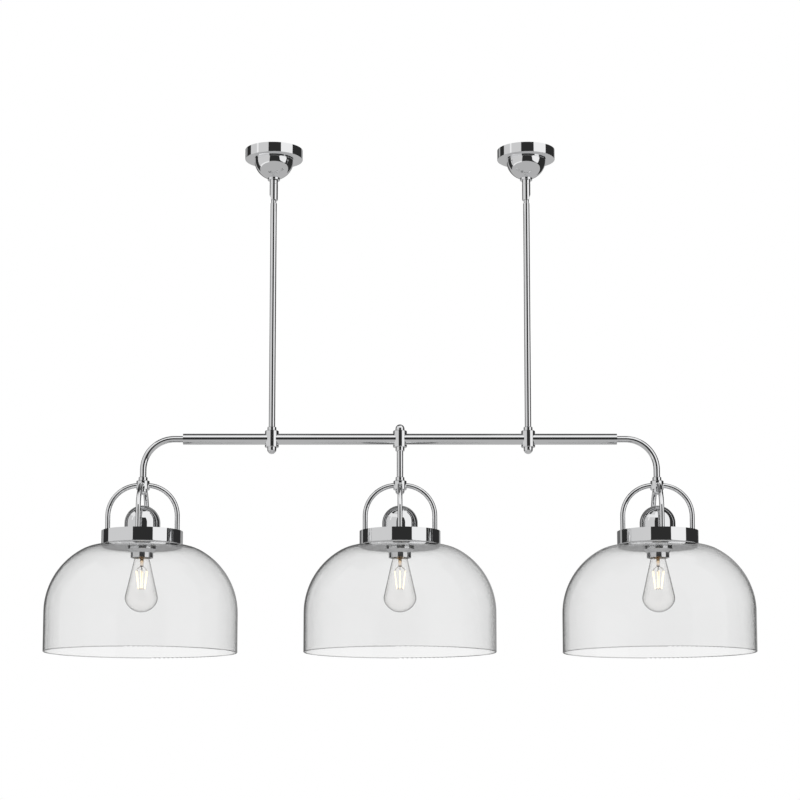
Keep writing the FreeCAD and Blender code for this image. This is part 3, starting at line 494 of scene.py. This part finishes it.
def swept(bm, points, radius, count=10):
    """A wire through the given points."""
    rings = []
    for i, point in enumerate(points):
        ahead = points[min(i + 1, len(points) - 1)]
        behind = points[max(i - 1, 0)]
        axis = (ahead - behind).normalized()
        side = axis.cross(Vector((0, 0, 1)))
        side = side.normalized() if side.length > 1e-4 else Vector((1, 0, 0))
        other = axis.cross(side).normalized()
        rings.append([bm.verts.new(point + (side * math.cos(t) + other * math.sin(t)) * radius)
                      for t in (2 * math.pi * k / count for k in range(count))])
    grid_faces(bm, rings, closed_rows=True)
    bm.faces.new(rings[0][::-1])
    bm.faces.new(rings[-1])


def centre_of(node):
    low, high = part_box(node)
    return ((low.x + high.x) / 2, (low.y + high.y) / 2)


# ---------------------------------------------------------------- bulbs
BASE_THREAD_PITCH = 3.6 * MM
BASE_THREAD_DEPTH = 0.8 * MM
BASE_COLLAR = 4.0 * MM
BASE_CONE = 5.5 * MM
BASE_BUTTON = 1.0 * MM
BASE_BUTTON_RADIUS = 4.6 * MM
BASE_CRIMP_RADIUS = 10.5 * MM


def bulb_base(name, materials):
    """Rolled screw shell with its collar, dark glass insulator and solder button."""
    node = "bulb_base_" + name
    low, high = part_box(node)
    centre = centre_of(node)
    radius = (high.x - low.x) / 2
    shell_top = high.z - BASE_CONE - BASE_BUTTON
    bm = bmesh.new()
    collar = turned_rows(bm, centre, [
        (radius - 0.5 * MM, low.z + 3.0 * MM),
        (radius - 0.5 * MM, low.z),
        (radius, low.z + 0.2 * MM),
        (radius - 0.05 * MM, low.z + BASE_COLLAR - 0.6 * MM),
        (radius - BASE_THREAD_DEPTH, low.z + BASE_COLLAR),
    ])
    thread = thread_rows(bm, centre, low.z + BASE_COLLAR, shell_top - 1.0 * MM, radius,
                         BASE_THREAD_DEPTH, BASE_THREAD_PITCH)
    join_rows(bm, collar[-1], thread[0])
    crown = turned_rows(bm, centre, [
        (radius - 1.2 * MM, shell_top - 0.4 * MM),
        (BASE_CRIMP_RADIUS, shell_top),
        (BASE_CRIMP_RADIUS - 0.6 * MM, shell_top - 0.2 * MM),
        (BASE_CRIMP_RADIUS - 1.2 * MM, shell_top + 0.8 * MM),
        (BASE_BUTTON_RADIUS + 1.2 * MM, high.z - BASE_BUTTON - 0.4 * MM),
        (BASE_BUTTON_RADIUS, high.z - BASE_BUTTON),
        (BASE_BUTTON_RADIUS - 0.2 * MM, high.z - 0.4 * MM),
        (BASE_BUTTON_RADIUS * 0.6, high.z - 0.05 * MM),
        (0, high.z),
    ])
    join_rows(bm, thread[-1], crown[0])
    bmesh.ops.recalc_face_normals(bm, faces=bm.faces)
    base = new_object("bulb_screw_base_" + name, bm, materials["nickel"])
    base.data.materials.append(materials["black_glass"])
    base.data.materials.append(materials["solder"])
    for face in base.data.polygons:
        reach = math.hypot(face.center.x - centre[0], face.center.y - centre[1])
        if face.center.z > high.z - BASE_BUTTON - 0.2 * MM and reach < BASE_BUTTON_RADIUS:
            face.material_index = 2
        elif face.center.z > shell_top - 0.1 * MM and reach < BASE_CRIMP_RADIUS - 0.7 * MM:
            face.material_index = 1
    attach(base, "bulb_" + name)
    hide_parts(node)


STEM_RADIUS = 3.4 * MM
FLARE_RADIUS = 11.4 * MM
STEM_FLARE = 6.0 * MM
PRESS_LENGTH = 8.0 * MM
MAST_RADIUS = 0.5 * MM
LEAD_RADIUS = 0.35 * MM
STICKS = 6
STICK_RADIUS = 1.15 * MM
STICK_TOP = 12.0 * MM
STICK_BOTTOM = 7.0 * MM
STICK_HEIGHT = 35.6 * MM
STICK_FOOT = 1.1 * MM
STEM_GAP = 8.6 * MM


def bulb_inside(name, materials):
    """Glass stem with its press, support wires and a ring of lit filament sticks."""
    node = "bulb_filaments_" + name
    low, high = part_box(node)
    cx, cy = centre_of(node)
    neck_z = high.z
    low_z = low.z + STICK_FOOT
    top_z = low_z + STICK_HEIGHT
    press_z = top_z + STEM_GAP

    bm = bmesh.new()
    turned_rows(bm, (cx, cy), [
        (0, neck_z),
        (FLARE_RADIUS - 0.3 * MM, neck_z),
        (FLARE_RADIUS, neck_z - 0.5 * MM),
        (FLARE_RADIUS * 0.7, neck_z - 2.4 * MM),
        (STEM_RADIUS * 1.3, neck_z - STEM_FLARE),
        (STEM_RADIUS, neck_z - STEM_FLARE - 2.0 * MM),
        (STEM_RADIUS, press_z + PRESS_LENGTH),
        (STEM_RADIUS * 0.9, press_z + PRESS_LENGTH * 0.6),
        (STEM_RADIUS * 0.95, press_z + 1.0 * MM),
        (STEM_RADIUS * 0.5, press_z),
        (0, press_z - 0.3 * MM),
    ], 32)
    bmesh.ops.recalc_face_normals(bm, faces=bm.faces)
    stem = new_object("bulb_stem_" + name, bm, materials["stem_glass"])

    bm = bmesh.new()
    centre = Vector((cx, cy, 0))
    tube_between(bm, centre + Vector((0, 0, low.z)), centre + Vector((0, 0, press_z + 3 * MM)),
                 MAST_RADIUS)
    ring_top = top_z - 0.2 * MM
    for step in range(STICKS):
        angle = 2 * math.pi * (step + 0.5) / STICKS
        out = Vector((math.cos(angle), math.sin(angle), 0))
        start = centre + out * 0.8 * MM + Vector((0, 0, press_z + 2.0 * MM))
        knee = centre + out * STICK_TOP * 0.75 + Vector((0, 0, press_z - STEM_GAP * 0.45))
        end = centre + out * STICK_TOP + Vector((0, 0, ring_top))
        swept(bm, [start, start.lerp(knee, 0.5), knee, knee.lerp(end, 0.6), end], LEAD_RADIUS)
        foot = centre + out * STICK_BOTTOM + Vector((0, 0, low_z + 0.2 * MM))
        root = centre + Vector((0, 0, low.z + 2.4 * MM))
        swept(bm, [root, root.lerp(foot, 0.5) - Vector((0, 0, 0.6 * MM)), foot], LEAD_RADIUS)
    wires = new_object("bulb_wires_" + name, bm, materials["nickel"])

    bm = bmesh.new()
    for step in range(STICKS):
        angle = 2 * math.pi * (step + 0.5) / STICKS
        out = Vector((math.cos(angle), math.sin(angle), 0))
        high_end = centre + out * STICK_TOP + Vector((0, 0, top_z))
        low_end = centre + out * STICK_BOTTOM + Vector((0, 0, low_z))
        tube_between(bm, low_end, high_end, STICK_RADIUS, 16)
    sticks = new_object("bulb_filament_sticks_" + name, bm, materials["filament"])

    for piece in (stem, wires, sticks):
        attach(piece, "bulb_" + name)
    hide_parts(node)


# ---------------------------------------------------------------- make
make_camera()
make_studio()
MATERIALS = make_materials()
dress_nodes(MATERIALS)
for lamp in LAMPS:
    bulb_base(lamp, MATERIALS)
    bulb_inside(lamp, MATERIALS)

bpy.context.view_layer.update()
